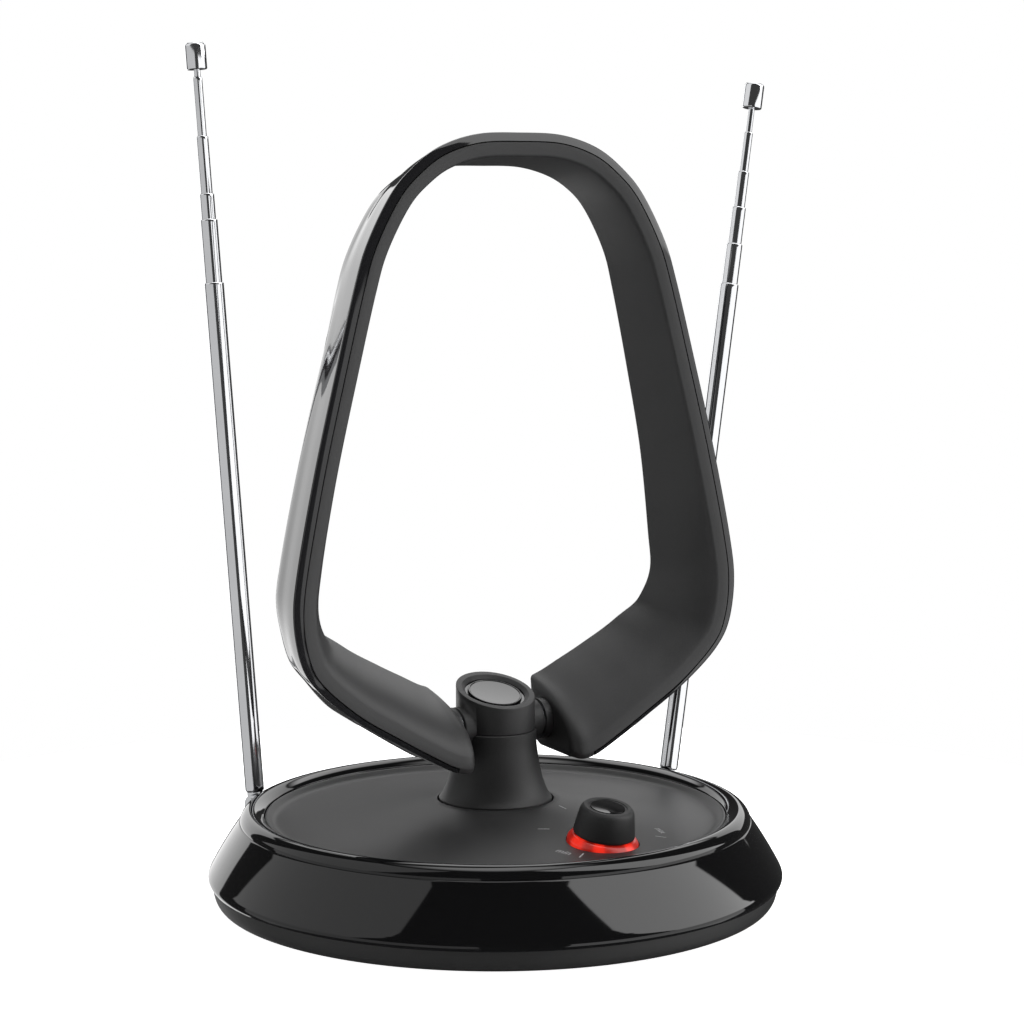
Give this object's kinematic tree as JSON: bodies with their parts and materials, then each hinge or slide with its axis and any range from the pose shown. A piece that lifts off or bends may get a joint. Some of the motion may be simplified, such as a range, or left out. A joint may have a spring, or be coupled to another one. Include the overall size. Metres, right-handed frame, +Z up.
{
  "type": "indoor tv antenna",
  "caption": "Amplified indoor tv antenna: round weighted base with gain knob and lit ring, turning and tilting loop on a stem, and telescopic rods on pivots.",
  "frame": {"origin": "centre of the round base on the table, under the rubber pad", "axes": "+Z up along the base's axis, -Y the base's front, +X to the right seen from the front"},
  "size_m": [0.1931, 0.1749, 0.26],
  "materials": {
    "gloss_black": "glossy",
    "matte_black": "fine matte",
    "charcoal": "fine matte",
    "rubber_black": "matte",
    "steel": "brushed",
    "zinc_steel": "dull zinc",
    "chrome_plate": "polished",
    "brass_plate": "satin",
    "board_green": "solder mask",
    "red_lens": "translucent red",
    "led_body": "clear",
    "bush_white": "waxy"
  },
  "bodies": {
    "base": {"bottom_tray": "matte_black", "skirt": "gloss_black", "collar": "gloss_black", "top_plate": "charcoal", "ballast_plate": "zinc_steel", "base_pad": "rubber_black", "tray_screws": "steel", "circuit_board": "board_green", "board_screws": "steel", "shield_can": "steel", "gain_pot": "steel", "light_ring": "red_lens", "leds": "led_body", "rear_panel": "matte_black", "coax_socket": "brass_plate", "coax_nut": "steel", "dc_jack": "matte_black", "swivel_bush": "bush_white", "swivel_washer": "steel", "rod_sockets": "matte_black"},
    "stem": {"stem": "charcoal", "head_cap": "charcoal", "head_disc": "gloss_black", "stem_screws": "steel", "swivel_clip": "steel", "tilt_shaft": "steel", "shaft_nuts": "steel", "tilt_washers": "steel"},
    "loop": {"loop_cover": "gloss_black", "loop_shell": "charcoal", "loop_element": "brass_plate", "knuckle_left": "charcoal", "knuckle_right": "charcoal"},
    "knob": {"knob": "charcoal", "knob_disc": "gloss_black", "pot_shaft": "steel"},
    "foot_left": {"fork_left": "steel", "rivet_left": "steel"},
    "rod_left_1": {"tube_left_1": "chrome_plate"},
    "rod_left_2": {"tube_left_2": "chrome_plate"},
    "rod_left_3": {"tube_left_3": "chrome_plate"},
    "rod_left_4": {"tube_left_4": "chrome_plate"},
    "rod_left_5": {"tube_left_5": "chrome_plate"},
    "rod_left_6": {"tube_left_6": "chrome_plate", "tip_left": "chrome_plate"},
    "foot_right": {"fork_right": "steel", "rivet_right": "steel"},
    "rod_right_1": {"tube_right_1": "chrome_plate"},
    "rod_right_2": {"tube_right_2": "chrome_plate"},
    "rod_right_3": {"tube_right_3": "chrome_plate"},
    "rod_right_4": {"tube_right_4": "chrome_plate"},
    "rod_right_5": {"tube_right_5": "chrome_plate"},
    "rod_right_6": {"tube_right_6": "chrome_plate", "tip_right": "chrome_plate"}
  },
  "joints": [
    {"name": "head_swivel", "type": "hinge", "parent": "base", "child": "stem", "pos_m": [0, 0, 0.03], "axis": [0, 0, 1], "range_deg": [-107.8, 72.2]},
    {"name": "loop_tilt", "type": "hinge", "parent": "stem", "child": "loop", "pos_m": [0, 0, 0.054], "axis": [-0.9521, -0.3057, 0], "range_deg": [-20, 22]},
    {"name": "knob_turn", "type": "hinge", "parent": "base", "child": "knob", "pos_m": [0.02203, -0.04287, 0.02611], "axis": [0.0872, -0.1697, 0.9816], "range_deg": [-150, 150]},
    {"name": "left_rod_swivel", "type": "hinge", "parent": "base", "child": "foot_left", "pos_m": [-0.06759, 0.04224, 0.024], "axis": [0, 0, 1], "range_deg": [-45, 45]},
    {"name": "left_rod_tilt", "type": "hinge", "parent": "foot_left", "child": "rod_left_1", "pos_m": [-0.06759, 0.04224, 0.024], "axis": [-0.5299, -0.848, 0], "range_deg": [0, 61.8]},
    {"name": "left_slide_1", "type": "slide", "parent": "rod_left_1", "child": "rod_left_2", "axis": [-0.0621, 0.0388, 0.9973], "range_m": [-0.0185, 0.1245]},
    {"name": "left_slide_2", "type": "slide", "parent": "rod_left_2", "child": "rod_left_3", "axis": [-0.0621, 0.0388, 0.9973], "range_m": [-0.0069, 0.1321]},
    {"name": "left_slide_3", "type": "slide", "parent": "rod_left_3", "child": "rod_left_4", "axis": [-0.0621, 0.0388, 0.9973], "range_m": [-0.0166, 0.1184]},
    {"name": "left_slide_4", "type": "slide", "parent": "rod_left_4", "child": "rod_left_5", "axis": [-0.0621, 0.0388, 0.9973], "range_m": [-0.017, 0.114]},
    {"name": "left_slide_5", "type": "slide", "parent": "rod_left_5", "child": "rod_left_6", "axis": [-0.0621, 0.0388, 0.9973], "range_m": [-0.001, 0.126]},
    {"name": "right_rod_swivel", "type": "hinge", "parent": "base", "child": "foot_right", "pos_m": [0.06759, 0.04224, 0.024], "axis": [0, 0, 1], "range_deg": [-45, 45]},
    {"name": "right_rod_tilt", "type": "hinge", "parent": "foot_right", "child": "rod_right_1", "pos_m": [0.06759, 0.04224, 0.024], "axis": [-0.5299, 0.848, 0], "range_deg": [-6.2, 55.6]},
    {"name": "right_slide_1", "type": "slide", "parent": "rod_right_1", "child": "rod_right_2", "axis": [0.1531, 0.0957, 0.9836], "range_m": [-0.0122, 0.1308]},
    {"name": "right_slide_2", "type": "slide", "parent": "rod_right_2", "child": "rod_right_3", "axis": [0.1531, 0.0957, 0.9836], "range_m": [-0.0111, 0.1279]},
    {"name": "right_slide_3", "type": "slide", "parent": "rod_right_3", "child": "rod_right_4", "axis": [0.1531, 0.0957, 0.9836], "range_m": [-0.0108, 0.1242]},
    {"name": "right_slide_4", "type": "slide", "parent": "rod_right_4", "child": "rod_right_5", "axis": [0.1531, 0.0957, 0.9836], "range_m": [-0.012, 0.119]},
    {"name": "right_slide_5", "type": "slide", "parent": "rod_right_5", "child": "rod_right_6", "axis": [0.1531, 0.0957, 0.9836], "range_m": [-0.0067, 0.1203]}
  ]
}
